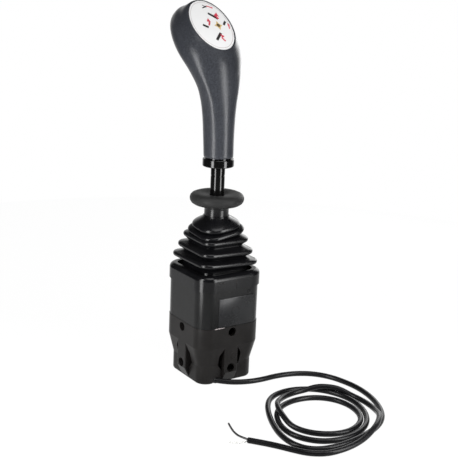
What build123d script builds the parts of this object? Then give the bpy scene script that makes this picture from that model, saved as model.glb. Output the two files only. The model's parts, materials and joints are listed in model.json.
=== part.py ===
"""Two-axis joystick lever for cable-operated hydraulic valves, with a switch lead.

Millimetres. The origin is the middle of the base's underside. +Z is up along the lever,
+Y is away from the operator and +X is to the operator's right.
"""

import os
from math import cos, pi, radians, sin, tan

from build123d import *

os.makedirs("parts", exist_ok=True)

# Base: a square moulded housing in two halves
BODY_HALF = 40.2  # half width of the lower housing's top band
UPPER_HALF = 39.8
CORNER_R = 16.8
SPLIT_Z = 66.6  # joint between the two housings
TAPER_TOP_Z = 43.2
TAPER_FOOT_Z = 20.9
FOOT_HALF = 34.9  # half width of the tapered corner posts at the foot
FOOT_R = 13.0
FOOT_EDGE_R = 2.2
FLOOR_T = 8.0
WALL = 5.0
WELL_HALF = 25.0  # narrow well between the posts, below the taper
WELL_TOP_Z = 45.0
SHOULDER_Z = 109.4  # where the rubber boot's cuff sits on the upper housing
LIP_HALF = 38.4
LIP_R = 15.0
LIP_TOP_Z = 120.0
SHELL_T = 4.0
SHELL_HALF = UPPER_HALF - SHELL_T

# Holes and bosses on the four side faces
BOSS_W = 17.0
BOSS_EDGE_R = 1.2
BOSS_SECTIONS = ((FOOT_EDGE_R, FOOT_HALF), (12.8, BODY_HALF), (TAPER_TOP_Z, BODY_HALF))
CAP_HOLE_R = 5.0  # holes closed by press-in caps
CAP_HOLE_DEPTH = 10.0
UPPER_HOLE_Z = 60.0
LOWER_HOLE_Z = 17.8
BOLT_R = 3.25  # clearance for an M6 bolt
POCKET_W = 5.6
POCKET_FOOT_Z = 14.0
POCKET_TOP_Z = 41.0
POCKET_DEPTH = 6.0
SCREW_XY = 26.5
SCREW_R = 2.0
SCREW_HOLE_R = 2.2
SCREW_HEAD_R = 3.5
SCREW_HEAD_H = 4.0
SCREW_TOP_Z = 78.0
POST_TOP_Z = 82.0
POST_EDGE = 22.0  # the corner blocks that take the screws start here
CABLE_THREAD_R = 5.1  # tapped M12 x 1.75 hole for a cable's threaded sleeve

# Gimbal
PIVOT_Z = 92.0
RING_R = 27.0
RING_BORE_R = 20.0
RING_T = 14.0
PIN_R = 3.5
RUNNING_GAP = 0.05
BUSH_R = 5.0
BUSH_L = 7.5
BUSH_FACE = 30.0  # distance of the housing bushes' faces from the lever's axis
HUB_BUSH_START = 4.5
FLANGE_T = 1.0
CLIP_T = 0.8
EYE_Z = 62.0
EYE_R = 2.5
EYE_REACH = 17.0
ARM_OFFSET = 5.0  # arms stand beside the middle planes, clear of the cross bolt
ARM_T = 5.0
ARM_HALF_H = 6.0
LINK_OUT_Y = 24.5  # outer side of the link from the ring down to its arm
LINK_W = 4.5
LINK_TOP_Z = 87.0
HUB_R = 13.0
HUB_TOP_Z = 112.0
HUB_FOOT_Z = 80.0
STEM_R = 9.0

# Rubber boot: height, half width and corner radius of each fold
CUFF_HALF = 41.2
CUFF_TOP_Z = 126.4
CUFF_SHOULDER_R = 5.4
MOUTH_HALF = 33.0
RUBBER_T = 2.0
RIM_T = 2.0
LOWER_FOLDS = (
    (126.4, 34.6, 11.6),
    (128.8, 31.6, 10.0),
    (134.2, 36.3, 10.0),
    (134.2 + RIM_T, 36.0, 10.0),
    (140.6, 27.4, 9.0),
    (146.2, 32.3, 9.5),
    (146.2 + RIM_T, 32.0, 9.5),
    (152.4, 24.0, 9.0),
)
UPPER_FOLDS = (
    (152.4, 24.0, 9.0),
    (157.6, 28.6, 10.0),
    (157.6 + RIM_T, 28.2, 10.0),
    (162.6, 20.6, 10.0),
    (165.8, 25.6, 13.0),
    (165.8 + RIM_T, 25.2, 13.0),
    (170.0, 18.4, 13.0),
    (172.6, 23.4, 17.0),
    (172.6 + RIM_T, 22.4, 17.0),
    (180.0, 13.3, 13.2),
)

# Lever
NECK_R = 13.3
NECK_FOOT_Z = 180.0
DISC_R = 29.9
DISC_FOOT_Z = 195.2
DISC_TOP_Z = 208.6
ROD_R = 7.8
ROD_FOOT_Z = 98.0
SHANK_R = 6.0
ROD_BORE_R = 2.95  # the lead fills it
ROD_TOP_Z = 272.0
GROOVE_Z = 228.0
COLLAR_R = 17.2
COLLAR_FOOT_Z = 238.5
COLLAR_TOP_Z = 247.0
GRIP_FOOT_Z = 248.2

# Grip sections: tilt in degrees, back point y and z, length from back to front, half width
GRIP_SECTIONS = (
    (0.0, -16.2, 248.2, 32.5, 16.2),
    (0.0, -15.9, 270.0, 34.4, 16.5),
    (3.0, -15.3, 291.0, 35.2, 17.8),
    (8.0, -14.5, 307.0, 36.8, 20.3),
    (14.0, -13.5, 319.0, 43.4, 24.2),
    (20.0, -12.3, 329.0, 60.8, 29.4),
    (25.5, -11.1, 337.5, 85.5, 34.4),
    (30.5, -9.8, 344.5, 98.5, 36.2),
    (35.0, -8.4, 350.5, 93.5, 33.8),
    (38.5, -7.0, 355.3, 83.0, 30.0),
    (41.3, -5.6, 359.2, 75.8, 27.4),
    (43.1, -4.6, 362.1, 72.4, 26.2),
)
OVAL_STEPS = 16
LABEL_CENTRE = (0.0, 22.45, 387.25)
LABEL_TILT = 43.1
LABEL_LONG_R = 35.0
LABEL_WIDE_R = 24.4
LABEL_T = 3.0
LABEL_PROUD = 0.6

# Push button under the front of the grip head
BUTTON_CENTRE = (0.0, 35.0, 342.0)
BUTTON_TILT = 36.0  # button axis below the horizontal
BUTTON_R = 7.0
BEZEL_R = 10.0
BEZEL_PROUD = 2.0
BEZEL_DEPTH = 6.0
BUTTON_PROUD = 4.0
BUTTON_FLANGE_R = 8.8
BUTTON_FLANGE_T = 2.0
BUTTON_TRAVEL = 1.8
BUTTON_GAP = 0.3
SWITCH_R = BEZEL_R  # the switch fills the same bore as the bezel
SWITCH_FOOT = -24.0

# Switch lead
CORD_R = 2.95
COIL_CENTRE = (32.0, -160.0)
COIL_IN_R = 39.0
COIL_OUT_R = 69.0
COIL_H = 12.5
LEAD_ROUTE = (
    (-15.0, -34.9, 3.6),
    (-8.4, -41.8, 3.3),
    (3.2, -48.9, 3.0),
    (17.0, -54.0, 3.0),
    (33.0, -56.0, 3.0),
    (49.0, -55.5, 3.0),
    (65.0, -57.5, 3.0),
    (81.0, -63.0, 3.0),
    (95.0, -73.0, 3.0),
    (105.0, -88.0, 3.0),
    (110.0, -105.0, 3.0),
    (112.5, -122.0, 3.0),
    (111.5, -140.0, 3.0),
    (107.0, -158.0, 3.0),
    (99.0, -175.0, 3.0),
    (90.5, -188.0, 3.0),
)
TAIL_ROUTE = (
    (16.0, -226.0, 3.0),
    (-1.0, -229.0, 3.0),
    (-17.0, -227.0, 3.0),
    (-29.5, -218.5, 3.0),
    (-38.5, -205.5, 3.0),
    (-46.5, -192.0, 3.0),
    (-55.5, -179.5, 3.0),
    (-65.0, -168.0, 3.0),
)
GROMMET_R = 3.4
GROMMET_L = 5.0
BLACK_CORE_R = 1.05
BLACK_CORE_ROUTE = (
    (-65.0, -168.0, 3.9),
    (-67.5, -158.5, 3.0),
    (-66.5, -148.0, 1.8),
    (-63.5, -137.0, 1.2),
    (-59.5, -126.0, 1.2),
)
WHITE_CORE_R = 0.75
WHITE_CORE_ROUTE = (
    (-65.0, -168.0, 2.1),
    (-71.5, -166.5, 1.4),
    (-77.0, -163.0, 0.9),
    (-81.0, -158.5, 0.9),
)


# Plane of the slot that the lead leaves by: its normal is the lead's direction, its y is up
LEAD_DIRECTION = Vector(
    LEAD_ROUTE[1][0] - LEAD_ROUTE[0][0], LEAD_ROUTE[1][1] - LEAD_ROUTE[0][1], 0
)
LEAD_EXIT = Plane(
    origin=LEAD_ROUTE[0],
    x_dir=(-LEAD_DIRECTION.Y, LEAD_DIRECTION.X, 0),
    z_dir=LEAD_DIRECTION,
)


def write(part, name):
    part.label = name
    export_step(part, f"parts/{name}.step")


def arc_radii(points):
    """One radius for each inner point: as large as its two runs allow."""
    radii = []
    for before, here, after in zip(points, points[1:], points[2:]):
        first = Vector(*here) - Vector(*before)
        second = Vector(*after) - Vector(*here)
        turn = radians(first.get_angle(second))
        radii.append(0.45 * min(first.length, second.length) / tan(turn / 2))
    return radii


def cord_tube(points, radius, name):
    """A round cord along straight runs joined by tangent arcs."""
    radii = arc_radii(points)
    with BuildPart() as tube:
        with BuildLine() as path:
            FilletPolyline(*points, radius=radii)
        start = path.line @ 0
        with BuildSketch(Plane(origin=start, z_dir=path.line % 0)):
            Circle(radius)
        sweep(path=path.line)
    length = sum(edge.length for edge in path.edges())
    print(name, "length", round(length, 1), "least radius", round(min(radii), 1), end=" ")
    print("volume share", round(tube.part.volume / (pi * radius**2 * length), 4))
    write(tube.part, name)


def side_plane(turn, height):
    """A plane through the lever's axis whose normal points out of one of the four sides."""
    outward = (cos(radians(turn)), sin(radians(turn)), 0)
    return Plane(origin=(0, 0, height), x_dir=(-outward[1], outward[0], 0), z_dir=outward)


SIDES = (0, 90, 180, 270)


def corner_blocks(reach):
    """Takes the four screw corners out of a sketch of the inside."""
    size = reach - POST_EDGE
    spacing = reach + POST_EDGE
    with GridLocations(spacing, spacing, 2, 2):
        Rectangle(size, size, mode=Mode.SUBTRACT)


def lead_slot():
    """The slot's section, round above and open below, on the lead's exit plane."""
    with BuildSketch(LEAD_EXIT) as section:
        Circle(GROMMET_R)
        with Locations((0, -LEAD_ROUTE[0][2] / 2)):
            Rectangle(2 * GROMMET_R, LEAD_ROUTE[0][2])
    return section.sketch

# Lower housing: a square band on four tapered posts, with a boss on each face
with BuildPart() as lower_housing:
    with BuildSketch():
        RectangleRounded(2 * FOOT_HALF, 2 * FOOT_HALF, FOOT_R)
    extrude(amount=TAPER_FOOT_Z)
    with BuildSketch(Plane.XY.offset(TAPER_FOOT_Z)):
        RectangleRounded(2 * FOOT_HALF, 2 * FOOT_HALF, FOOT_R)
    with BuildSketch(Plane.XY.offset(TAPER_TOP_Z)):
        RectangleRounded(2 * BODY_HALF, 2 * BODY_HALF, CORNER_R)
    loft(ruled=True)
    with BuildSketch(Plane.XY.offset(TAPER_TOP_Z)):
        RectangleRounded(2 * BODY_HALF, 2 * BODY_HALF, CORNER_R)
    extrude(amount=SPLIT_Z - TAPER_TOP_Z)
    foot_edges = lower_housing.faces().sort_by(Axis.Z)[0].edges()
    fillet(foot_edges, radius=FOOT_EDGE_R)
    # One boss on each face, flush with the band and drawn in at its foot
    for turn in (0, 90):
        for height, half in BOSS_SECTIONS:
            with BuildSketch(Plane.XY.offset(height)):
                RectangleRounded(2 * half, BOSS_W, BOSS_EDGE_R, rotation=turn)
        loft(ruled=True)
    # Pockets with pointed tops beside each boss
    for turn in SIDES:
        with BuildSketch(side_plane(turn, 0).offset(FOOT_HALF - POCKET_DEPTH)):
            for side in (-1, 1):
                inner = side * BOSS_W / 2
                outer = side * (BOSS_W / 2 + POCKET_W)
                with BuildLine():
                    Polyline(
                        (inner, POCKET_FOOT_Z),
                        (outer, POCKET_FOOT_Z + 7),
                        (outer, POCKET_TOP_Z - 8),
                        (inner, POCKET_TOP_Z),
                        close=True,
                    )
                make_face()
        extrude(amount=2 * POCKET_DEPTH, mode=Mode.SUBTRACT)
    # Inside: a narrow well below, the full width above it
    with BuildSketch(Plane.XY.offset(FLOOR_T)):
        RectangleRounded(2 * WELL_HALF, 2 * WELL_HALF, WALL)
    extrude(amount=WELL_TOP_Z - FLOOR_T, mode=Mode.SUBTRACT)
    with BuildSketch(Plane.XY.offset(WELL_TOP_Z)):
        RectangleRounded(2 * (BODY_HALF - WALL), 2 * (BODY_HALF - WALL), CORNER_R - WALL)
        corner_blocks(BODY_HALF)
    extrude(amount=SPLIT_Z - WELL_TOP_Z, mode=Mode.SUBTRACT)
    # Side holes: service holes above, counterbored cross-bolt holes below
    for turn in SIDES:
        with BuildSketch(side_plane(turn, UPPER_HOLE_Z).offset(BODY_HALF - WALL - 1)):
            Circle(CAP_HOLE_R)
        extrude(amount=WALL + 2, mode=Mode.SUBTRACT)
        with BuildSketch(side_plane(turn, LOWER_HOLE_Z).offset(BODY_HALF - CAP_HOLE_DEPTH)):
            Circle(CAP_HOLE_R)
        extrude(amount=CAP_HOLE_DEPTH + 1, mode=Mode.SUBTRACT)
        with BuildSketch(side_plane(turn, LOWER_HOLE_Z).offset(WELL_HALF - 1)):
            Circle(BOLT_R)
        extrude(amount=BODY_HALF - CAP_HOLE_DEPTH - WELL_HALF + 2, mode=Mode.SUBTRACT)
    # Screw holes up through the posts
    with BuildSketch():
        with GridLocations(2 * SCREW_XY, 2 * SCREW_XY, 2, 2):
            Circle(SCREW_HOLE_R)
    extrude(amount=SPLIT_Z, mode=Mode.SUBTRACT)
    with BuildSketch():
        with GridLocations(2 * SCREW_XY, 2 * SCREW_XY, 2, 2):
            Circle(SCREW_HEAD_R + 0.1)
    extrude(amount=FLOOR_T, mode=Mode.SUBTRACT)
    # Tapped holes in the floor, straight below the two arms' eyes
    with BuildSketch():
        with Locations((ARM_OFFSET, EYE_REACH), (EYE_REACH, -ARM_OFFSET)):
            Circle(CABLE_THREAD_R)
    extrude(amount=FLOOR_T, mode=Mode.SUBTRACT)
    # Slot for the lead's grommet, open to the underside
    extrude(lead_slot(), amount=GROMMET_L, both=True, mode=Mode.SUBTRACT)

# Upper housing: carries the gimbal's bushes and the boot's cuff
with BuildPart() as upper_housing:
    with BuildSketch(Plane.XY.offset(SPLIT_Z)):
        RectangleRounded(2 * UPPER_HALF, 2 * UPPER_HALF, CORNER_R)
    extrude(amount=SHOULDER_Z - SPLIT_Z)
    with BuildSketch(Plane.XY.offset(SHOULDER_Z)):
        RectangleRounded(2 * LIP_HALF, 2 * LIP_HALF, LIP_R)
    extrude(amount=LIP_TOP_Z - SHOULDER_Z)
    with BuildSketch(Plane.XY.offset(SPLIT_Z)):
        RectangleRounded(2 * SHELL_HALF, 2 * SHELL_HALF, CORNER_R - SHELL_T)
        corner_blocks(UPPER_HALF)
    extrude(amount=POST_TOP_Z - SPLIT_Z, mode=Mode.SUBTRACT)
    with BuildSketch(Plane.XY.offset(POST_TOP_Z)):
        RectangleRounded(2 * SHELL_HALF, 2 * SHELL_HALF, CORNER_R - SHELL_T)
    extrude(amount=LIP_TOP_Z - POST_TOP_Z, mode=Mode.SUBTRACT)
    with BuildSketch(Plane.XY.offset(SPLIT_Z)):
        with GridLocations(2 * SCREW_XY, 2 * SCREW_XY, 2, 2):
            Circle(SCREW_R)
    extrude(amount=SCREW_TOP_Z - SPLIT_Z, mode=Mode.SUBTRACT)
    for turn in (0, 180):
        with BuildSketch(side_plane(turn, PIVOT_Z).offset(BUSH_FACE)):
            Circle(BUSH_R + 3)
        extrude(amount=SHELL_HALF - BUSH_FACE + 1)
        with BuildSketch(side_plane(turn, PIVOT_Z).offset(BUSH_FACE)):
            Circle(BUSH_R)
        extrude(amount=BUSH_L, mode=Mode.SUBTRACT)

# Four screws from below hold the housings together
with BuildPart() as housing_screws:
    with BuildSketch(Plane.XY.offset(FLOOR_T - SCREW_HEAD_H)):
        with GridLocations(2 * SCREW_XY, 2 * SCREW_XY, 2, 2):
            Circle(SCREW_HEAD_R)
    extrude(amount=SCREW_HEAD_H)
    with BuildSketch(Plane.XY.offset(FLOOR_T)):
        with GridLocations(2 * SCREW_XY, 2 * SCREW_XY, 2, 2):
            Circle(SCREW_R)
    extrude(amount=SCREW_TOP_Z - FLOOR_T)

with BuildPart() as lead_grommet:
    with BuildSketch(LEAD_EXIT):
        Circle(GROMMET_R)
    extrude(amount=-GROMMET_L)

# Rubber boot: cuff, two stacks of folds, then the neck with its disc
with BuildPart() as bellows_cuff:
    with BuildSketch(Plane.XY.offset(SHOULDER_Z)):
        RectangleRounded(2 * CUFF_HALF, 2 * CUFF_HALF, CORNER_R + 1)
    extrude(amount=CUFF_TOP_Z - SHOULDER_Z)
    fillet(bellows_cuff.faces().sort_by(Axis.Z)[-1].edges(), radius=CUFF_SHOULDER_R)
    with BuildSketch(Plane.XY.offset(SHOULDER_Z)):
        RectangleRounded(2 * LIP_HALF, 2 * LIP_HALF, LIP_R)
    extrude(amount=LIP_TOP_Z - SHOULDER_Z, mode=Mode.SUBTRACT)
    with BuildSketch(Plane.XY.offset(LIP_TOP_Z)):
        RectangleRounded(2 * MOUTH_HALF, 2 * MOUTH_HALF, LIP_R - 4)
    extrude(amount=CUFF_TOP_Z - LIP_TOP_Z, mode=Mode.SUBTRACT)


def fold_sections(stack, wall):
    """The square sections of one stack of folds, drawn in by the wall."""
    sections = []
    for height, half, corner in stack:
        with BuildSketch(Plane.XY.offset(height)) as section:
            RectangleRounded(2 * (half - wall), 2 * (half - wall), corner - wall)
        sections.append(section.sketch.face())
    return sections


with BuildPart() as bellows_lower:
    loft(fold_sections(LOWER_FOLDS, 0), ruled=True)
    loft(fold_sections(LOWER_FOLDS, RUBBER_T), ruled=True, mode=Mode.SUBTRACT)

with BuildPart() as bellows_upper:
    loft(fold_sections(UPPER_FOLDS, 0), ruled=True)
    loft(fold_sections(UPPER_FOLDS, RUBBER_T), ruled=True, mode=Mode.SUBTRACT)

with BuildPart() as boot_neck:
    with BuildSketch(Plane.XZ):
        with BuildLine():
            Polyline(
                (ROD_R, NECK_FOOT_Z),
                (NECK_R, NECK_FOOT_Z),
                (NECK_R, DISC_FOOT_Z - 4.6),
                (NECK_R + 1.6, DISC_FOOT_Z - 3.2),
                (NECK_R + 1.6, DISC_FOOT_Z - 1.4),
                (NECK_R + 0.6, DISC_FOOT_Z),
                (DISC_R, DISC_FOOT_Z),
                (DISC_R, DISC_TOP_Z),
                (DISC_R - 6, DISC_TOP_Z),
                (ROD_R, DISC_TOP_Z - 2.4),
                close=True,
            )
        make_face()
    revolve(axis=Axis.Z)
    rim_edges = boot_neck.edges().filter_by(GeomType.CIRCLE).filter_by(lambda e: e.radius > DISC_R - 1)
    fillet(rim_edges, radius=5.0)

# Gimbal: a ring that tilts fore and aft on two pins, and carries the lever's two pins
with BuildPart() as gimbal_ring:
    with BuildSketch(Plane.XY.offset(PIVOT_Z - RING_T / 2)):
        Circle(RING_R)
        Circle(RING_BORE_R, mode=Mode.SUBTRACT)
    extrude(amount=RING_T)
    # Arm and eye for the fore-and-aft cable
    with BuildSketch(Plane.YZ.offset(ARM_OFFSET - ARM_T / 2)):
        with Locations((EYE_REACH, EYE_Z)):
            Circle(ARM_HALF_H)
            Rectangle(LINK_OUT_Y - EYE_REACH - 2, 2 * ARM_HALF_H, align=(Align.MIN, Align.CENTER))
        with Locations((LINK_OUT_Y, EYE_Z)):
            Rectangle(LINK_W, LINK_TOP_Z - EYE_Z, align=(Align.MAX, Align.MIN))
        with Locations((EYE_REACH, EYE_Z)):
            Circle(EYE_R, mode=Mode.SUBTRACT)
    extrude(amount=ARM_T)
    for turn in SIDES:
        with BuildSketch(side_plane(turn, PIVOT_Z).offset(RING_BORE_R - 2)):
            Circle(PIN_R)
        extrude(amount=RING_R - RING_BORE_R + 4, mode=Mode.SUBTRACT)


def ring_section(plane, start, outer, inner=0.0):
    """A disc or ring on a plane moved along its normal, for a pin, sleeve or washer."""
    with BuildSketch(plane.offset(start)) as section:
        Circle(outer)
        if inner:
            Circle(inner, mode=Mode.SUBTRACT)
    return section.sketch


sides = {"right": 0, "front": 90, "left": 180, "rear": 270}
small_parts = {}
for side, turn in sides.items():
    across = turn in (0, 180)
    plane = side_plane(turn, PIVOT_Z)
    # The left and right pins turn in the housing, the front and rear ones in the hub
    pin_start = RING_BORE_R if across else HUB_BUSH_START + 0.5
    pin_end = BUSH_FACE + BUSH_L - 0.5 if across else RING_R - 0.6
    with BuildPart() as pin:
        extrude(ring_section(plane, pin_start, PIN_R), amount=pin_end - pin_start)
    small_parts[f"gimbal_pin_{side}"] = pin.part
    bush_start = BUSH_FACE if across else HUB_BUSH_START
    bush_end = BUSH_FACE + BUSH_L if across else HUB_R
    flange_start = BUSH_FACE - FLANGE_T if across else HUB_R
    with BuildPart() as bush:
        extrude(ring_section(plane, bush_start, BUSH_R, PIN_R + RUNNING_GAP), amount=bush_end - bush_start)
        extrude(ring_section(plane, flange_start, BUSH_R + 1.5, PIN_R + RUNNING_GAP), amount=FLANGE_T)
    small_parts[f"pivot_bush_{side}"] = bush.part
    clip_start = RING_R + 0.3 if across else HUB_R + 2.2
    with BuildPart() as clip:
        extrude(ring_section(plane, clip_start, PIN_R + 2.2, PIN_R), amount=CLIP_T)
    small_parts[f"pivot_clip_{side}"] = clip.part

# Lever hub: hangs between the ring's other two pins and carries the rod
with BuildPart() as lever_hub:
    with BuildSketch(Plane.XY.offset(HUB_FOOT_Z)):
        Circle(HUB_R)
    extrude(amount=HUB_TOP_Z - HUB_FOOT_Z)
    with BuildSketch(Plane.XY.offset(EYE_Z - ARM_HALF_H)):
        Circle(STEM_R)
    extrude(amount=HUB_FOOT_Z - EYE_Z + ARM_HALF_H)
    with BuildSketch(Plane.XZ.offset(ARM_OFFSET - ARM_T / 2)):
        with Locations((EYE_REACH / 2, EYE_Z)):
            Rectangle(EYE_REACH, 2 * ARM_HALF_H)
        with Locations((EYE_REACH, EYE_Z)):
            Circle(ARM_HALF_H)
            Circle(EYE_R, mode=Mode.SUBTRACT)
    extrude(amount=ARM_T)
    with BuildSketch(Plane.XY.offset(EYE_Z - ARM_HALF_H)):
        Circle(ROD_BORE_R)
    extrude(amount=ROD_FOOT_Z - EYE_Z + ARM_HALF_H, mode=Mode.SUBTRACT)
    with BuildSketch(Plane.XY.offset(ROD_FOOT_Z)):
        Circle(SHANK_R)
    extrude(amount=HUB_TOP_Z - ROD_FOOT_Z, mode=Mode.SUBTRACT)
    for turn in (90, 270):
        with BuildSketch(side_plane(turn, PIVOT_Z).offset(HUB_BUSH_START)):
            Circle(BUSH_R)
        extrude(amount=HUB_R - HUB_BUSH_START, mode=Mode.SUBTRACT)

# Rod: a tube with a thinner shank in the hub and a shallow groove halfway up
with BuildPart() as rod:
    with BuildSketch(Plane.XZ):
        with BuildLine():
            Polyline(
                (ROD_BORE_R, ROD_FOOT_Z),
                (SHANK_R, ROD_FOOT_Z),
                (SHANK_R, HUB_TOP_Z),
                (ROD_R, HUB_TOP_Z),
                (ROD_R, GROOVE_Z - 0.7),
                (ROD_R - 0.5, GROOVE_Z - 0.7),
                (ROD_R - 0.5, GROOVE_Z + 0.7),
                (ROD_R, GROOVE_Z + 0.7),
                (ROD_R, ROD_TOP_Z),
                (ROD_BORE_R, ROD_TOP_Z),
                close=True,
            )
        make_face()
    revolve(axis=Axis.Z)

with BuildPart() as rod_lead:
    with BuildSketch(Plane.XY.offset(EYE_Z - ARM_HALF_H + 1)):
        Circle(CORD_R)
    extrude(amount=ROD_TOP_Z - EYE_Z + ARM_HALF_H - 2)

with BuildPart() as collar_ring:
    with BuildSketch(Plane.XY.offset(COLLAR_FOOT_Z)):
        Circle(COLLAR_R)
    extrude(amount=COLLAR_TOP_Z - COLLAR_FOOT_Z)
    fillet(collar_ring.edges().filter_by(GeomType.CIRCLE), radius=1.0)
    with BuildSketch(Plane.XY.offset(COLLAR_TOP_Z)):
        Circle(COLLAR_R - 2.4)
    extrude(amount=GRIP_FOOT_Z - COLLAR_TOP_Z)
    with BuildSketch(Plane.XY.offset(COLLAR_FOOT_Z)):
        Circle(ROD_R)
    extrude(amount=GRIP_FOOT_Z - COLLAR_FOOT_Z, mode=Mode.SUBTRACT)


def tilted(centre, tilt):
    """A plane whose normal leans back from the vertical by tilt; its y runs forward and up."""
    lean = radians(tilt)
    return Plane(origin=centre, x_dir=(1, 0, 0), z_dir=(0, -sin(lean), cos(lean)))


def oval_points(across, along):
    """Points around an oval, from its back: every section starts there, so the loft doesn't twist."""
    angles = [2 * pi * step / OVAL_STEPS for step in range(OVAL_STEPS)]
    return [(across * sin(angle), -along * cos(angle)) for angle in angles]


LABEL_PLANE = tilted(LABEL_CENTRE, LABEL_TILT)
BUTTON_PLANE = Plane(
    origin=BUTTON_CENTRE,
    x_dir=(1, 0, 0),
    z_dir=(0, cos(radians(BUTTON_TILT)), -sin(radians(BUTTON_TILT))),
)
FLANGE_FOOT = -BEZEL_DEPTH - BUTTON_GAP - BUTTON_FLANGE_T
SWITCH_TOP = FLANGE_FOOT - BUTTON_TRAVEL - BUTTON_GAP

# Grip: sections that fan out from an upright handle to the tilted label face
with BuildPart() as grip:
    for tilt, back_y, back_z, length, half_width in GRIP_SECTIONS:
        lean = radians(tilt)
        middle = (0, back_y + length / 2 * cos(lean), back_z + length / 2 * sin(lean))
        with BuildSketch(tilted(middle, tilt)):
            with BuildLine():
                Spline(*oval_points(half_width, length / 2), periodic=True)
            make_face()
    loft()
    with BuildSketch(LABEL_PLANE.offset(LABEL_PROUD - LABEL_T)):
        Ellipse(LABEL_WIDE_R, LABEL_LONG_R)
    extrude(amount=2 * LABEL_T, mode=Mode.SUBTRACT)
    with BuildSketch(Plane.XY.offset(GRIP_FOOT_Z)):
        Circle(ROD_R)
    extrude(amount=ROD_TOP_Z - GRIP_FOOT_Z, mode=Mode.SUBTRACT)
    with BuildSketch(BUTTON_PLANE.offset(SWITCH_FOOT)):
        Circle(BEZEL_R)
    extrude(amount=20 - SWITCH_FOOT, mode=Mode.SUBTRACT)

with BuildPart() as label_plate:
    with BuildSketch(LABEL_PLANE.offset(LABEL_PROUD - LABEL_T)):
        Ellipse(LABEL_WIDE_R, LABEL_LONG_R)
    extrude(amount=LABEL_T)
    fillet(label_plate.faces().sort_by(Axis.Z)[-1].edges(), radius=0.5)

with BuildPart() as switch_bezel:
    bezel_section = ring_section(BUTTON_PLANE, -BEZEL_DEPTH, BEZEL_R, BUTTON_R + BUTTON_GAP)
    extrude(bezel_section, amount=BEZEL_DEPTH + BEZEL_PROUD)

with BuildPart() as push_button:
    extrude(ring_section(BUTTON_PLANE, FLANGE_FOOT, BUTTON_FLANGE_R), amount=BUTTON_FLANGE_T)
    extrude(ring_section(BUTTON_PLANE, FLANGE_FOOT, BUTTON_R), amount=BUTTON_PROUD - FLANGE_FOOT)

with BuildPart() as switch_body:
    extrude(ring_section(BUTTON_PLANE, SWITCH_FOOT, SWITCH_R), amount=SWITCH_TOP - SWITCH_FOOT)

# Switch lead: a tube to the loose coil, the coil's outer shape, a tail and two bare cores
with BuildPart() as cord_coil:
    with BuildSketch():
        with Locations(COIL_CENTRE):
            Circle(COIL_OUT_R)
            Circle(COIL_IN_R, mode=Mode.SUBTRACT)
    extrude(amount=COIL_H)

named_parts = {
    "lower_housing": lower_housing,
    "upper_housing": upper_housing,
    "housing_screws": housing_screws,
    "lead_grommet": lead_grommet,
    "bellows_cuff": bellows_cuff,
    "bellows_lower": bellows_lower,
    "bellows_upper": bellows_upper,
    "boot_neck": boot_neck,
    "gimbal_ring": gimbal_ring,
    "lever_hub": lever_hub,
    "rod": rod,
    "rod_lead": rod_lead,
    "collar_ring": collar_ring,
    "grip": grip,
    "label_plate": label_plate,
    "switch_bezel": switch_bezel,
    "push_button": push_button,
    "switch_body": switch_body,
    "cord_coil": cord_coil,
}
for name, builder in named_parts.items():
    write(builder.part, name)
for name, part in small_parts.items():
    write(part, name)
cord_tube(LEAD_ROUTE, CORD_R, "cord_lead")
cord_tube(TAIL_ROUTE, CORD_R, "cord_tail")
cord_tube(BLACK_CORE_ROUTE, BLACK_CORE_R, "core_black")
cord_tube(WHITE_CORE_ROUTE, WHITE_CORE_R, "core_white")
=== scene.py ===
# %% [markdown]
# # A two-axis joystick lever, dressed in Blender
# The real object is a lever for cable-operated hydraulic valves: a moulded square base, a
# rubber bellows, a coated steel rod with a rubber guard disc, and a tall grip whose head
# leans forward under a domed label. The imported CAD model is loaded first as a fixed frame.
# What follows adds the soft parts, the cord, the small moulded details and the finishes.

# %% Load the frame
import json
from math import cos, pi, radians, sin, tau

import bpy
from mathutils import Matrix, Vector


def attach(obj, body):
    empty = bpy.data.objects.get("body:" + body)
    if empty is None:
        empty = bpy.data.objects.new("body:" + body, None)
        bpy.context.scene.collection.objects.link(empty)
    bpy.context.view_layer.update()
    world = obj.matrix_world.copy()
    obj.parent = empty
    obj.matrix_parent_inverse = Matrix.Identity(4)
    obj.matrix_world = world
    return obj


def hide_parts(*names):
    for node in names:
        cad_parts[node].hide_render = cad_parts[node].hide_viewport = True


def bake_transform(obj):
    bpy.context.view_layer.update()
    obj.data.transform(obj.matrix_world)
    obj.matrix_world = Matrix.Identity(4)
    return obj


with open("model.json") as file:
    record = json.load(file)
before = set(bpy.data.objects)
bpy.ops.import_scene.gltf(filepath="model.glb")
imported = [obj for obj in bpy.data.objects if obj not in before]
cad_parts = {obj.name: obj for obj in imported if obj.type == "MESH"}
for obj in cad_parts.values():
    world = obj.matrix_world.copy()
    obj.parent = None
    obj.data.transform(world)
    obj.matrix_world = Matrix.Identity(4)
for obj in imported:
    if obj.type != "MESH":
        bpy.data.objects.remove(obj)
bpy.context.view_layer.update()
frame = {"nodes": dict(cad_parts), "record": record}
nodes = frame["nodes"]
MM = 0.001


# %% [markdown]
# ## The camera
# A long lens seen from the operator's left keeps the tall lever's lines nearly parallel.
# The camera aims at a point on the lever's axis, and a small shift places it in the frame.

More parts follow.
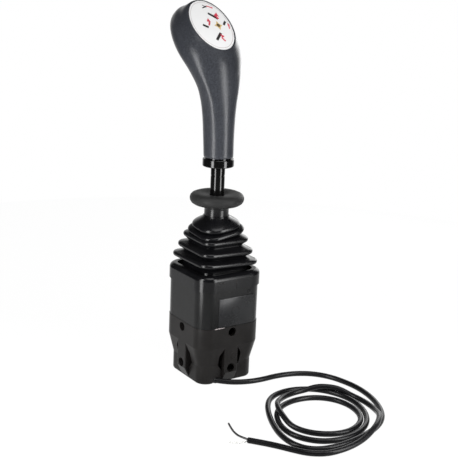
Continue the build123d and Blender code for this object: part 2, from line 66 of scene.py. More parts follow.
# %% Camera
AIM = Vector((0, 0, 0.1776))
AZIMUTH = radians(-33.62)
ELEVATION = radians(14.7)
ROLL = radians(2.09)
DISTANCE = 1.1013
back = Vector((sin(AZIMUTH) * cos(ELEVATION), -cos(AZIMUTH) * cos(ELEVATION), sin(ELEVATION)))
lens = bpy.data.cameras.new("studio_lens")
lens.lens = 78.6
lens.sensor_width = 36
lens.shift_x = 0.0281
lens.shift_y = -0.0197
camera = bpy.data.objects.new("studio_camera", lens)
bpy.context.collection.objects.link(camera)
camera.matrix_world = (
    Matrix.Translation(AIM + back * DISTANCE)
    @ back.to_track_quat("Z", "Y").to_matrix().to_4x4()
    @ Matrix.Rotation(ROLL, 4, "Z")
)
bpy.context.scene.camera = camera
bpy.context.scene.view_settings.view_transform = "Standard"
print("camera at", [round(value, 3) for value in camera.location])

# %% [markdown]
# ## The switch lead
# A 5.9 mm black cable leaves the base near its front left corner, swings out to the right
# and lies in a loose, hand-wound coil of three and a half turns. A NURBS spline suits it:
# the control points need not be exact, and the curve between them is always fair. Heights
# are 3 mm on the floor and 9 mm where one turn lies on another.

# %% Route of the lead
LEAD_ROUTE = (
    (-15.0, -34.9, 3.6), (-8.4, -41.8, 3.3), (3.2, -48.9, 3.0), (17.0, -54.0, 3.0),
    (33.0, -56.0, 3.0), (49.0, -55.5, 3.0), (65.0, -57.5, 3.0), (81.0, -63.0, 3.0),
    (95.0, -73.0, 3.0), (105.0, -88.0, 3.0), (110.0, -105.0, 3.0), (112.5, -122.0, 3.0),
    (111.5, -140.0, 3.0), (107.0, -158.0, 3.0), (100.0, -175.0, 3.0), (89.5, -191.0, 3.0),
)
FIRST_TURN = (
    (76, -203, 3), (60, -211, 3), (43, -216, 3), (25, -219.5, 3), (6, -221, 3), (-12, -219, 3),
    (-25, -211, 3), (-31, -198, 3), (-31.5, -182, 3), (-28, -165, 3), (-21, -147, 3),
    (-12, -129, 3), (-1, -112, 3), (11, -100.5, 3), (25, -94.5, 3), (40, -93.5, 3),
    (54, -97, 3), (67, -104.5, 3),
)
SECOND_TURN = (
    (77, -116, 3), (83.5, -131, 3), (86, -147, 3), (83.5, -163, 3), (77, -179, 3),
    (66, -194, 3), (51, -205, 3), (34, -211, 3), (16, -212, 3), (-1, -207, 3),
    (-13, -196, 3), (-20, -181, 3), (-20, -165, 3), (-15, -150, 3), (-7, -136, 3),
    (4, -125.5, 3), (18, -119, 3), (34, -117, 3), (50, -120, 3), (63, -128, 3),
)
THIRD_TURN = (
    (72, -141, 3), (75, -157, 3), (72, -173, 3), (64, -187, 3), (51, -197, 3), (35, -202, 3),
    (19, -200, 3), (5, -192, 3), (-5, -180, 3), (-10.5, -165, 4), (-9.5, -150, 8.5),
    (-5, -137, 9.2), (2, -125, 8.6), (12, -113, 4.5), (25, -105, 3.2), (40, -102, 3.2),
    (54, -104.5, 4.5), (66, -110, 8.6), (76, -117, 9.2), (85, -126, 8.4),
)
LAST_TURN = (
    (92, -138, 4), (95.5, -153, 3), (94, -169, 3), (88.5, -184, 4.5), (79.5, -197, 8.8),
    (68, -208.5, 9.3), (54, -217.5, 8.6), (38, -223, 4.5), (20, -227, 3),
)
TAIL_ROUTE = (
    (2.0, -229.0, 3.0), (-15.0, -227.5, 3.0), (-29.5, -218.5, 3.0), (-38.5, -205.5, 3.0),
    (-46.5, -192.0, 3.0), (-55.5, -179.5, 3.0), (-65.0, -168.0, 3.0),
)
BLACK_CORE_ROUTE = (
    (-65.0, -168.0, 3.9), (-67.5, -158.5, 3.0), (-66.5, -148.0, 1.8),
    (-63.5, -137.0, 1.2), (-59.5, -126.0, 1.2),
)
WHITE_CORE_ROUTE = (
    (-65.0, -168.0, 2.1), (-71.5, -166.5, 1.4), (-77.0, -163.0, 0.9), (-81.0, -158.5, 0.9),
)


# %% Helpers for a cable
def cable(name, points, radius):
    """A round cable along one NURBS spline through the given millimetre points."""
    curve = bpy.data.curves.new(name, "CURVE")
    curve.dimensions = "3D"
    curve.bevel_depth = 1.0
    curve.bevel_resolution = 6
    curve.resolution_u = 8
    curve.use_fill_caps = True
    spline = curve.splines.new("NURBS")
    spline.points.add(len(points) - 1)
    for control, place in zip(spline.points, points):
        control.co = (*(value * MM for value in place), 1)
        control.radius = radius * MM
    spline.order_u = 3
    spline.use_endpoint_u = True
    piece = bpy.data.objects.new(name, curve)
    bpy.context.collection.objects.link(piece)
    return piece


def line_length(piece):
    """Length of a cable's own line, read from the curve without its thickness."""
    bare = piece.data.copy()
    bare.bevel_depth = 0
    probe = bpy.data.objects.new("probe", bare)
    bpy.context.collection.objects.link(probe)
    graph = bpy.context.evaluated_depsgraph_get()
    line = bpy.data.meshes.new_from_object(probe.evaluated_get(graph))
    places = [vertex.co.copy() for vertex in line.vertices]
    total = sum((b - a).length for a, b in zip(places, places[1:]))
    bpy.data.objects.remove(probe)
    bpy.data.curves.remove(bare)
    bpy.data.meshes.remove(line)
    return total


# %% The lead and its two bare cores
LEAD_RADIUS, BLACK_RADIUS, WHITE_RADIUS = 2.95, 1.05, 0.75
cord_points = LEAD_ROUTE + FIRST_TURN + SECOND_TURN + THIRD_TURN + LAST_TURN + TAIL_ROUTE
switch_lead = cable("switch_lead", cord_points, LEAD_RADIUS)
black_core = cable("black_core", BLACK_CORE_ROUTE, BLACK_RADIUS)
white_core = cable("white_core", WHITE_CORE_ROUTE, WHITE_RADIUS)
print("lead length", round(line_length(switch_lead), 3), "m")
for piece, cad_nodes, slot in (
    (switch_lead, ("cord_lead", "cord_coil", "cord_tail"), "cord_jacket"),
    (black_core, ("core_black",), "black_core"),
    (white_core, ("core_white",), "white_core"),
):
    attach(piece, "housing")
    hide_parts(*cad_nodes)

# %% [markdown]
# ## Studio
# The lever stands on a round white table in a dim room, with a low white sweep behind it.
# Two soft lights stand upright on the table, close on either side, and draw the two bright
# lines down the rod, the grip and the near corner. A panel overhead lights the tops. Seen
# straight, table and sweep are plain white. Gloss shows the same white table and sweep, and
# the dim room above and in front. A weak fill from behind keeps the far side from going black.

# %% Empty materials
def new_material(name):
    """An empty node material, its tree and its output."""
    material = bpy.data.materials.new(name)
    material.use_nodes = True
    tree = material.node_tree
    tree.nodes.clear()
    output = tree.nodes.new("ShaderNodeOutputMaterial")
    return material, tree, output


def shows_white(tree):
    """Two masks: rays straight from the camera, and rays by way of gloss or glass."""
    rays = tree.nodes.new("ShaderNodeLightPath")
    mirror = tree.nodes.new("ShaderNodeMath")
    mirror.operation = "MAXIMUM"
    tree.links.new(rays.outputs["Is Glossy Ray"], mirror.inputs[0])
    tree.links.new(rays.outputs["Is Transmission Ray"], mirror.inputs[1])
    return rays.outputs["Is Camera Ray"], mirror.outputs[0]


# %% Table
TABLE_R = 0.85
TABLE_GLOW = 1.01
GLOW_SHARE = 0.965  # the rest of the table's look is paper, which takes the shadows
bpy.ops.object.select_all(action="DESELECT")
bpy.ops.mesh.primitive_circle_add(vertices=64, radius=TABLE_R, fill_type="NGON")
table = bpy.context.object
table.name = "studio_table"

table_finish, tree, output = new_material("white_table")
paper = tree.nodes.new("ShaderNodeBsdfDiffuse")
paper.inputs["Color"].default_value = (0.9, 0.9, 0.9, 1)
glow = tree.nodes.new("ShaderNodeEmission")
glow.inputs["Strength"].default_value = TABLE_GLOW
straight, mirrored = shows_white(tree)
either = tree.nodes.new("ShaderNodeMath")
either.operation = "MAXIMUM"
share = tree.nodes.new("ShaderNodeMath")
share.operation = "MULTIPLY"
share.inputs[1].default_value = GLOW_SHARE
cover = tree.nodes.new("ShaderNodeMixShader")
tree.links.new(straight, either.inputs[0])
tree.links.new(mirrored, either.inputs[1])
tree.links.new(either.outputs[0], share.inputs[0])
tree.links.new(share.outputs[0], cover.inputs["Fac"])
tree.links.new(paper.outputs[0], cover.inputs[1])
tree.links.new(glow.outputs[0], cover.inputs[2])
tree.links.new(cover.outputs[0], output.inputs["Surface"])
table.data.materials.append(table_finish)
print("table", 2 * TABLE_R, "m across")

# %% Room
ROOM_LIGHT = 0.08
ROOM_IN_GLOSS = 0.04
SWEEP_SIDE = (-sin(AZIMUTH), cos(AZIMUTH), 0)
world = bpy.data.worlds.new("studio_room")
bpy.context.scene.world = world
world.use_nodes = True
tree = world.node_tree
tree.nodes.clear()
output = tree.nodes.new("ShaderNodeOutputWorld")
place = tree.nodes.new("ShaderNodeTexCoord")
# Gloss sees the sweep where a ray runs towards it and low, and a dim room elsewhere
facing = tree.nodes.new("ShaderNodeVectorMath")
facing.operation = "DOT_PRODUCT"
facing.inputs[1].default_value = SWEEP_SIDE
sweep = tree.nodes.new("ShaderNodeMapRange")
sweep.interpolation_type = "SMOOTHSTEP"
sweep.inputs["From Min"].default_value = 0.45
sweep.inputs["From Max"].default_value = 0.97
upward = tree.nodes.new("ShaderNodeSeparateXYZ")
low = tree.nodes.new("ShaderNodeMapRange")
low.interpolation_type = "SMOOTHSTEP"
low.inputs["From Min"].default_value = 0.25
low.inputs["From Max"].default_value = 0.6
low.inputs["To Min"].default_value = 1.0
low.inputs["To Max"].default_value = 0.0
behind = tree.nodes.new("ShaderNodeMath")
behind.operation = "MULTIPLY_ADD"
behind.inputs[2].default_value = ROOM_IN_GLOSS
tree.links.new(place.outputs["Generated"], facing.inputs[0])
tree.links.new(place.outputs["Generated"], upward.inputs[0])
tree.links.new(facing.outputs["Value"], sweep.inputs["Value"])
tree.links.new(upward.outputs["Z"], low.inputs["Value"])
tree.links.new(sweep.outputs["Result"], behind.inputs[0])
tree.links.new(low.outputs["Result"], behind.inputs[1])
room, gloss, white = (tree.nodes.new("ShaderNodeBackground") for _ in range(3))
room.inputs["Strength"].default_value = ROOM_LIGHT
for light in (room, white):
    light.inputs["Color"].default_value = (1, 1, 1, 1)
tree.links.new(behind.outputs[0], gloss.inputs["Color"])
straight, mirrored = shows_white(tree)
first, second = (tree.nodes.new("ShaderNodeMixShader") for _ in range(2))
tree.links.new(mirrored, first.inputs["Fac"])
tree.links.new(room.outputs[0], first.inputs[1])
tree.links.new(gloss.outputs[0], first.inputs[2])
tree.links.new(straight, second.inputs["Fac"])
tree.links.new(first.outputs[0], second.inputs[1])
tree.links.new(white.outputs[0], second.inputs[2])
tree.links.new(second.outputs[0], output.inputs["Surface"])
print("room at", ROOM_LIGHT, "of white")


# %% Soft lights
def soft_light(name, turn, height, distance, size, radiance, aim):
    """A soft light on a circle round the lever, aimed at a height on the lever's axis.

    turn is in degrees from the camera's side, and the lengths are in metres.
    """
    lamp = bpy.data.lights.new(name, "AREA")
    lamp.shape = "RECTANGLE"
    lamp.size, lamp.size_y = size
    lamp.energy = radiance * pi * pi * size[0] * size[1]
    stand = bpy.data.objects.new(name, lamp)
    bpy.context.collection.objects.link(stand)
    stand.visible_camera = False
    around = AZIMUTH + radians(turn)
    place = Vector((sin(around) * distance, -cos(around) * distance, height))
    stand.location = place
    stand.rotation_euler = (place - Vector((0, 0, aim))).to_track_quat("Z", "Y").to_euler()
    print(name, "gives", round(lamp.energy, 1), "W")


for name, turn, height, distance, size, radiance, aim in (
    ("left_softbox", -40, 0.24, 0.3, (0.09, 0.47), 4.8, 0.24),
    ("right_softbox", 54, 0.25, 0.42, (0.13, 0.48), 4.2, 0.25),
    ("back_fill", 150, 0.4, 0.8, (0.5, 0.5), 0.9, 0.22),
    ("top_panel", 30, 1.3, 0.5, (0.8, 0.8), 1.5, 0.22),
):
    soft_light(name, turn, height, distance, size, radiance, aim)

# %% [markdown]
# ## Finishes
# Every moulded surface here is nearly black, so the finish is told by gloss and grain, not
# by colour. One recipe serves them all: a Principled shader, a slow noise that varies the
# roughness as handling does, a fine noise for the moulded grain, and a touch of dust in the
# colour. Patterns read Object coordinates, so they stay fixed to the piece.

# %% A moulded finish
def moulded(name, colour, roughness, spread, grain, bump, worn, level, fleck):
    """Plastic or rubber with grain, uneven gloss and slightly worn, dustier patches.

    spread is how far the roughness varies, grain the scale and bump the strength of the fine
    noise, worn the brightness of a dusty patch, level the strength of the clear reflection,
    and fleck the share of the fine noise in the colour.
    """
    material, tree, output = new_material(name)
    shader = tree.nodes.new("ShaderNodeBsdfPrincipled")
    shader.inputs["IOR"].default_value = 1.47
    shader.inputs["Specular IOR Level"].default_value = level
    place = tree.nodes.new("ShaderNodeTexCoord")
    slow = tree.nodes.new("ShaderNodeTexNoise")
    slow.inputs["Scale"].default_value = 38
    slow.inputs["Detail"].default_value = 5
    fine = tree.nodes.new("ShaderNodeTexNoise")
    fine.inputs["Scale"].default_value = grain
    fine.inputs["Detail"].default_value = 3
    tree.links.new(place.outputs["Object"], slow.inputs["Vector"])
    tree.links.new(place.outputs["Object"], fine.inputs["Vector"])
    gloss = tree.nodes.new("ShaderNodeMapRange")
    gloss.inputs["To Min"].default_value = roughness - spread
    gloss.inputs["To Max"].default_value = roughness + spread
    tree.links.new(slow.outputs["Fac"], gloss.inputs["Value"])
    tree.links.new(gloss.outputs["Result"], shader.inputs["Roughness"])
    tint = tree.nodes.new("ShaderNodeValToRGB")
    tint.color_ramp.elements[0].position = 0.35
    tint.color_ramp.elements[0].color = (*colour, 1)
    tint.color_ramp.elements[1].position = 0.75
    tint.color_ramp.elements[1].color = (*(value * worn for value in colour), 1)
    flecks = tree.nodes.new("ShaderNodeMix")
    flecks.inputs["Factor"].default_value = fleck
    tree.links.new(slow.outputs["Fac"], flecks.inputs["A"])
    tree.links.new(fine.outputs["Fac"], flecks.inputs["B"])
    tree.links.new(flecks.outputs["Result"], tint.inputs["Fac"])
    tree.links.new(tint.outputs["Color"], shader.inputs["Base Color"])
    relief = tree.nodes.new("ShaderNodeBump")
    relief.inputs["Strength"].default_value = bump
    relief.inputs["Distance"].default_value = 0.0002
    tree.links.new(fine.outputs["Fac"], relief.inputs["Height"])
    tree.links.new(relief.outputs["Normal"], shader.inputs["Normal"])
    tree.links.new(shader.outputs[0], output.inputs["Surface"])
    return material


def metal(name, colour, roughness, stretch):
    """Turned or drawn metal: fine lines across the surface, brighter and duller in turn."""
    material, tree, output = new_material(name)
    shader = tree.nodes.new("ShaderNodeBsdfPrincipled")
    shader.inputs["Metallic"].default_value = 1.0
    place = tree.nodes.new("ShaderNodeTexCoord")
    along = tree.nodes.new("ShaderNodeMapping")
    along.inputs["Scale"].default_value = stretch
    lines = tree.nodes.new("ShaderNodeTexNoise")
    lines.inputs["Scale"].default_value = 1.0
    lines.inputs["Detail"].default_value = 4
    tree.links.new(place.outputs["Object"], along.inputs["Vector"])
    tree.links.new(along.outputs["Vector"], lines.inputs["Vector"])
    gloss = tree.nodes.new("ShaderNodeMapRange")
    gloss.inputs["To Min"].default_value = roughness - 0.1
    gloss.inputs["To Max"].default_value = roughness + 0.1
    tree.links.new(lines.outputs["Fac"], gloss.inputs["Value"])
    tree.links.new(gloss.outputs["Result"], shader.inputs["Roughness"])
    tint = tree.nodes.new("ShaderNodeValToRGB")
    tint.color_ramp.elements[0].color = (*(value * 0.85 for value in colour), 1)
    tint.color_ramp.elements[1].color = (*colour, 1)
    tree.links.new(lines.outputs["Fac"], tint.inputs["Fac"])
    tree.links.new(tint.outputs["Color"], shader.inputs["Base Color"])
    tree.links.new(shader.outputs[0], output.inputs["Surface"])
    return material


# %% The finishes of this lever
MOULDED = (  # name, colour, roughness, spread, grain, bump, worn, level, fleck
    ("lower_shell", (0.0055, 0.005, 0.0048), 0.34, 0.09, 1500, 0.06, 1.6, 0.14, 0.0),
    ("upper_shell", (0.0032, 0.0033, 0.0034), 0.22, 0.05, 1500, 0.03, 1.4, 0.19, 0.0),
    # The field's lighter, bluer colour is painted sheen from the right light on the near face
    ("field_plastic_painted_sheen", (0.0075, 0.0078, 0.0085), 0.28, 0.06, 1200, 0.05, 1.4, 0.22, 0.0),
    ("boot_rubber", (0.0022, 0.0022, 0.0026), 0.23, 0.05, 2200, 0.03, 1.6, 0.25, 0.0),
    ("cuff_rubber", (0.0022, 0.0022, 0.0026), 0.2, 0.05, 1800, 0.03, 1.5, 0.21, 0.0),
    ("disc_rubber", (0.013, 0.013, 0.013), 0.5, 0.06, 1800, 0.08, 1.25, 0.1, 0.0),
    ("black_steel", (0.002, 0.002, 0.002), 0.12, 0.03, 2600, 0.01, 1.2, 0.34, 0.0),
    ("grip_plastic", (0.0165, 0.0176, 0.0208), 0.3, 0.04, 620, 0.3, 2.2, 0.25, 0.75),
    ("label_film", (0.62, 0.62, 0.62), 0.22, 0.04, 600, 0.01, 1.03, 0.5, 0.0),
    ("switch_plastic", (0.01, 0.01, 0.011), 0.25, 0.05, 1800, 0.03, 1.25, 0.5, 0.0),
    ("button_rubber", (0.02, 0.02, 0.02), 0.6, 0.06, 1800, 0.1, 1.25, 0.5, 0.0),
    ("bearing_plastic", (0.6, 0.58, 0.52), 0.45, 0.05, 1500, 0.04, 1.05, 0.5, 0.0),
    ("cord_jacket", (0.0045, 0.0045, 0.005), 0.28, 0.06, 900, 0.04, 1.5, 0.14, 0.0),
    ("black_insulation", (0.008, 0.008, 0.008), 0.35, 0.05, 900, 0.03, 1.25, 0.5, 0.0),
    ("white_insulation", (0.6, 0.6, 0.58), 0.35, 0.05, 900, 0.03, 1.03, 0.5, 0.0),
    ("print_black", (0.012, 0.01, 0.01), 0.35, 0.05, 900, 0.02, 1.4, 0.5, 0.0),
    ("print_red", (0.42, 0.035, 0.06), 0.35, 0.05, 900, 0.02, 1.3, 0.5, 0.0),
    ("print_ochre", (0.42, 0.3, 0.12), 0.35, 0.05, 900, 0.02, 1.3, 0.5, 0.0),
    # This grey colours the label's fine line and also a painted glint where the two shells meet
    ("grey_line_and_painted_glint", (0.32, 0.28, 0.28), 0.35, 0.05, 900, 0.02, 1.3, 0.5, 0.0),
)
finishes = {row[0]: moulded(*row) for row in MOULDED}
finishes["cast_ring"] = metal("cast_ring", (0.3, 0.3, 0.31), 0.5, (300, 300, 300))
finishes["turned_steel"] = metal("turned_steel", (0.6, 0.61, 0.63), 0.3, (40, 40, 2200))
print(len(finishes), "finishes")


# %% Dress the CAD nodes
def dress(piece, finish):
    """Gives a piece its one finish, by name."""
    piece.data.materials.clear()
    piece.data.materials.append(finishes[finish])


# Every other slot of the record has a finish of its own name
RENAMED_SLOTS = {
    "label": "label_film", "steel": "turned_steel",
    "black_core": "black_insulation", "white_core": "white_insulation",
}
subparts = frame["record"]["subparts"]
for part in subparts:
    slot = part["material_slot"]
    dress(nodes[part["node"]], RENAMED_SLOTS.get(slot, slot))
dress(nodes["bellows_cuff"], "cuff_rubber")
dress(switch_lead, "cord_jacket")
dress(black_core, "black_insulation")
dress(white_core, "white_insulation")
print("dressed", len(subparts), "CAD nodes and the lead")

# %% [markdown]
# ## The bellows
# The boot is a square rubber concertina: each fold has a thin rolled lip, and the folds grow
# rounder towards the lever. It could be cut from a block, but one ring of edges that is
# extruded and scaled again and again keeps every lip clean. A real boot never sits quite
# level, so each ring may tip: dip lowers its near corner and lift raises its right one.
# It is two pieces, which meet at a ring low down.

# %% Edit-mode helpers
def start_clean():
    """Leaves nothing selected, so that an operator acts on the new piece alone."""
    if bpy.context.object and bpy.context.object.mode != "OBJECT":
        bpy.ops.object.mode_set(mode="OBJECT")
    bpy.ops.object.select_all(action="DESELECT")


def keep(piece, name, body):
    """Names a finished piece and joins it to its body."""
    piece.name = name
    piece.data.name = name
    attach(piece, body)


def apply_all(piece):
    """Applies a piece's modifiers in order."""
    bpy.context.view_layer.objects.active = piece
    for modifier in list(piece.modifiers):
        bpy.ops.object.modifier_apply(modifier=modifier.name)


def smooth(piece, angle):
    """Smooth shading, with edges sharper than the angle kept."""
    start_clean()
    piece.select_set(True)
    bpy.context.view_layer.objects.active = piece
    bpy.ops.object.shade_smooth_by_angle(angle=radians(angle))


# %% Folds
TIP = 1.2  # a rounded corner stands this many half widths from the axis
WALL = 1.1  # thickness of the rubber in mm


def tipped(x, y, half, dip, lift):
    """How far a point of a ring rises when the ring's near corner dips and its right one lifts."""
    near = -(x + y) / 2 ** 0.5
    right = (x - y) / 2 ** 0.5
    return (lift * right - dip * near) / (TIP * half)


def fold_stack(name, rings, cad_node):
    """One stack of folds. A ring is (height, half width, corner radius, dip, lift) in mm."""
    start_clean()
    height, half, corner = rings[0][:3]
    bpy.ops.mesh.primitive_plane_add(size=2 * half * MM, location=(0, 0, height * MM))
    piece = bpy.context.object
    bpy.ops.object.transform_apply(location=True, rotation=False, scale=True)
    bpy.ops.object.mode_set(mode="EDIT")
    bpy.ops.mesh.select_all(action="SELECT")
    bpy.ops.mesh.bevel(offset=corner * MM, segments=6, affect="VERTICES")
    bpy.ops.mesh.select_all(action="SELECT")
    bpy.ops.mesh.delete(type="ONLY_FACE")
    bpy.ops.mesh.select_mode(type="EDGE")
    bpy.ops.mesh.select_all(action="SELECT")
    for (_, half0, corner0, *_), (z1, half1, corner1, *tip) in zip(rings, rings[1:]):
        dip, lift = tip or (0, 0)
        bpy.ops.mesh.extrude_region_move()
        bpy.ops.object.mode_set(mode="OBJECT")
        # The flats keep to the new half width and each corner turns about its own centre
        straight0, straight1 = half0 - corner0, half1 - corner1
        for vertex in piece.data.vertices:
            if vertex.select:
                for axis in (0, 1):
                    side = 1 if vertex.co[axis] > 0 else -1
                    beyond = abs(vertex.co[axis]) - straight0 * MM
                    vertex.co[axis] = side * (straight1 * MM + beyond * corner1 / corner0)
                rise = tipped(vertex.co.x, vertex.co.y, half1, dip, lift)
                vertex.co.z = z1 * MM + rise
        bpy.ops.object.mode_set(mode="EDIT")
    bpy.ops.object.mode_set(mode="OBJECT")
    rounding = piece.modifiers.new("rounding", "SUBSURF")
    rounding.levels = rounding.render_levels = 2
    apply_all(piece)
    wall = piece.modifiers.new("wall", "SOLIDIFY")
    wall.thickness = WALL * MM
    wall.offset = -1
    apply_all(piece)
    bpy.ops.object.mode_set(mode="EDIT")
    bpy.ops.mesh.select_all(action="SELECT")
    bpy.ops.mesh.normals_make_consistent(inside=False)
    bpy.ops.object.mode_set(mode="OBJECT")
    smooth(piece, 60)
    dress(piece, "boot_rubber")
    piece.name = name
    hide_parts(cad_node)
    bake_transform(piece)
    print(name, len(piece.data.polygons), "faces")


SEAM = (140.9, 27.0, 10.2, -0.4, -1.2)  # the ring that both stacks share
LOWER_RINGS = (
    (119.5, 31.4, 10.6), (121.0, 29.6, 10.4), (124.0, 28.0, 10.2), (127.6, 27.4, 10.2),
    (130.4, 28.2, 10.4, -0.4, -0.4), (132.6, 31.0, 11.2, -0.8, -0.8),
    (133.6, 34.2, 12, -1.1, -1.0), (134.0, 35.9, 12.4, -1.2, -1.1), (134.7, 36.6, 12.6, -1.2, -1.1),
    (136.4, 36.6, 12.6, -1.2, -1.1), (137.0, 36.0, 12.4, -1.2, -1.1), (137.3, 34.6, 12, -1.2, -1.1),
    (138.4, 31.0, 11, -1.0, -1.1), (139.9, 27.9, 10.4, -0.6, -1.2), SEAM,
)
UPPER_RINGS = (
    SEAM, (142.1, 27.4, 10.4, -0.2, -1.3), (144.4, 29.9, 11, 0, -1.4), (145.4, 31.5, 11.4, 0, -1.4),
    (145.8, 32.2, 11.6, 0, -1.4), (146.5, 32.5, 11.8, 0, -1.4), (148.0, 32.5, 11.8, 0, -1.4),
    (148.7, 31.9, 11.6, 0, -1.4), (149.1, 30.6, 11.2, 0, -1.3), (150.2, 27.2, 10.4, 0, -1.0),
    (151.4, 24.6, 9.8, 0, -0.5), (152.4, 23.6, 9.6, 0, -0.3),
    (154.2, 23.8, 9.8, 0.3, -0.3), (156.9, 26.2, 10, 0.6, -0.8),
    (157.9, 27.2, 10.4, 0.8, -0.9), (158.4, 27.9, 10.6, 0.8, -0.9), (159.1, 28.2, 10.8, 0.8, -0.9),
    (160.3, 28.2, 10.8, 0.8, -0.9), (160.9, 27.7, 10.8, 0.8, -0.9), (161.3, 26.7, 10.7, 1.2, -0.7),
    (162.6, 23.4, 10.8, 2.4, -0.2), (163.8, 21.2, 11.5, 3.6, 0.4), (165.0, 21.6, 12.4, 4.6, 0.9),
    (165.9, 23.6, 13.4, 5.3, 1.2), (166.4, 24.9, 14.2, 5.6, 1.2), (166.9, 25.6, 14.8, 5.8, 1.2),
    (167.7, 25.9, 15, 5.8, 1.2), (168.6, 25.9, 15, 5.8, 1.2), (169.2, 25.4, 15, 5.7, 1.2),
    (169.6, 24.2, 15, 5.6, 1.2), (170.2, 21.4, 14.4, 5.2, 1.0), (170.8, 19.8, 14.3, 4.9, 0.8),
    (171.4, 20.0, 15, 4.6, 0.6), (171.9, 21.6, 16.5, 4.4, 0.5), (172.3, 22.8, 17.5, 4.2, 0.4),
    (172.9, 23.4, 18, 4.1, 0.4), (173.8, 23.6, 18.3, 4.1, 0.4), (174.7, 23.3, 18.3, 4.0, 0.4),
    (175.8, 22.2, 18, 3.6, 0.3), (177.4, 20.0, 17.2, 2.8, 0.2), (179.3, 17.2, 15.6, 1.7, 0.1),
    (181.0, 15.0, 14.2, 0.7, 0), (182.4, 13.8, 13.5), (183.4, 13.45, 13.4),
)
fold_stack(
    "bellows_lower_folds", LOWER_RINGS, "bellows_lower"
)
fold_stack(
    "bellows_upper_folds", UPPER_RINGS, "bellows_upper"
)

# %% [markdown]
# ## The neck and the guard disc
# Above the folds the boot ends in a shiny tube with a bead round its top. A matte rubber
# disc lies on the bead and keeps a hand off the folds. Both are round, so each is a line of
# points that is spun once round the lever, which is quicker and truer than stacking cylinders.

# %% Turning on the lever's axis
TURN_STEPS = 96
WELD = 0.01 * MM


def turned(name, profile, finish):
    """Spins a closed profile of (radius, height) points in mm round the lever's axis."""
    start_clean()
    (first_r, first_z), *others = profile
    place = (first_r * MM, 0, first_z * MM)
    bpy.ops.mesh.primitive_plane_add(size=MM, location=place)
    piece = bpy.context.object
    bpy.ops.object.transform_apply(location=True, rotation=False, scale=True)
    bpy.ops.object.mode_set(mode="EDIT")
    bpy.ops.mesh.select_mode(type="VERT")
    bpy.ops.mesh.select_all(action="SELECT")
    bpy.ops.mesh.merge(type="CENTER")
    last_r, last_z = first_r, first_z
    for radius, height in (*others, profile[0]):
        step = ((radius - last_r) * MM, 0, (height - last_z) * MM)
        bpy.ops.mesh.extrude_vertices_move(TRANSFORM_OT_translate={"value": step})
        last_r, last_z = radius, height
    bpy.ops.mesh.select_all(action="SELECT")
    bpy.ops.mesh.remove_doubles(threshold=WELD)
    bpy.ops.mesh.select_all(action="SELECT")
    bpy.ops.mesh.spin(steps=TURN_STEPS, angle=tau, center=(0, 0, 0), axis=(0, 0, 1))
    bpy.ops.mesh.select_all(action="SELECT")
    bpy.ops.mesh.remove_doubles(threshold=WELD)
    bpy.ops.mesh.normals_make_consistent(inside=False)
    bpy.ops.object.mode_set(mode="OBJECT")
    smooth(piece, 35)
    dress(piece, finish)
    keep(piece, name, "lever")
    print(name, len(piece.data.polygons), "faces")
    return piece


# %% Neck and disc
NECK_PROFILE = (
    (12.2, 181.4), (13.7, 182.0), (13.55, 184.4), (13.5, 190.8), (13.6, 192.0), (13.9, 192.7),
    (14.0, 193.4), (13.8, 194.2), (13.6, 196.0), (8.2, 196.0), (8.2, 181.4),
)
DISC_PROFILE = (
    (13.0, 195.0), (14.6, 194.8), (18.5, 195.0), (22.4, 195.5), (25.6, 196.5), (28.0, 198.1),
    (29.4, 200.2), (29.9, 202.2), (29.8, 204.0), (29.1, 205.8), (27.7, 207.3), (25.4, 208.3),
    (22.4, 208.6), (18.5, 208.5), (14.5, 208.0), (11.2, 207.3), (9.2, 206.8), (8.3, 206.4),
    (7.9, 205.6), (7.9, 196.2), (13.0, 196.2),
)
turned("boot_neck_tube", NECK_PROFILE, "boot_rubber")
guard_disc = turned("guard_disc", DISC_PROFILE, "disc_rubber")
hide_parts("boot_neck")

# %% [markdown]
# ## The grip
# The handle is upright and nearly round, then fans out into an oval head whose top face
# leans forward. A few drawn sections fix its shape. They are blended into many rings, and one
# loop of edges is extruded from ring to ring, so the whole skin is even and shades cleanly.
# A soft ridge runs down each side of the handle, and the rim swells at its upper left.

# %% Sections of the grip
GRIP_SECTIONS = (  # tilt in degrees, back point y and z, length, half width, ridge, swell
    (0.0, -16.2, 248.2, 32.5, 16.2, 0.0, 0.0),
    (0.0, -15.9, 270.0, 34.4, 16.5, 0.1, 0.0),
    (3.0, -15.3, 291.0, 35.2, 17.8, 0.3, 0.0),
    (8.0, -14.5, 307.0, 36.8, 20.3, 0.5, 0.0),
    (14.0, -13.5, 319.0, 41.6, 24.0, 0.6, 0.0),
    (20.0, -12.3, 329.0, 58.2, 28.9, 0.6, 0.0),
    (25.5, -11.1, 337.5, 87.5, 34.6, 0.5, 0.0),
    (30.5, -9.8, 344.5, 99.5, 36.6, 0.3, 0.5),
    (35.0, -8.4, 350.5, 93.8, 34.0, 0.1, 1.5),
    (38.5, -7.0, 355.3, 83.0, 30.0, 0.0, 2.4),
    (41.3, -5.6, 359.2, 75.8, 27.4, 0.0, 3.0),
    (43.1, -4.6, 362.1, 72.4, 26.2, 0.0, 1.8),
)
RINGS_BETWEEN = 6


def blended(sections, steps):
    """Values between the drawn sections, on smooth curves through all of them."""
    rings = []
    for index in range(len(sections) - 1):
        before = sections[max(index - 1, 0)]
        after = sections[min(index + 2, len(sections) - 1)]
        for step in range(steps):
            t = step / steps
            rings.append([
                0.5 * (2 * b + (c - a) * t + (2 * a - 5 * b + 4 * c - d) * t ** 2
                       + (3 * b - a - 3 * c + d) * t ** 3)
                for a, b, c, d in zip(before, sections[index], sections[index + 1], after)
            ])
    return rings + [list(sections[-1])]


def bell(angle, centre, width):
    """1 at the centre angle, fading smoothly to 0 a few widths away."""
    away = (angle - centre + pi) % tau - pi
    return 2.718 ** (-(away / width) ** 2)


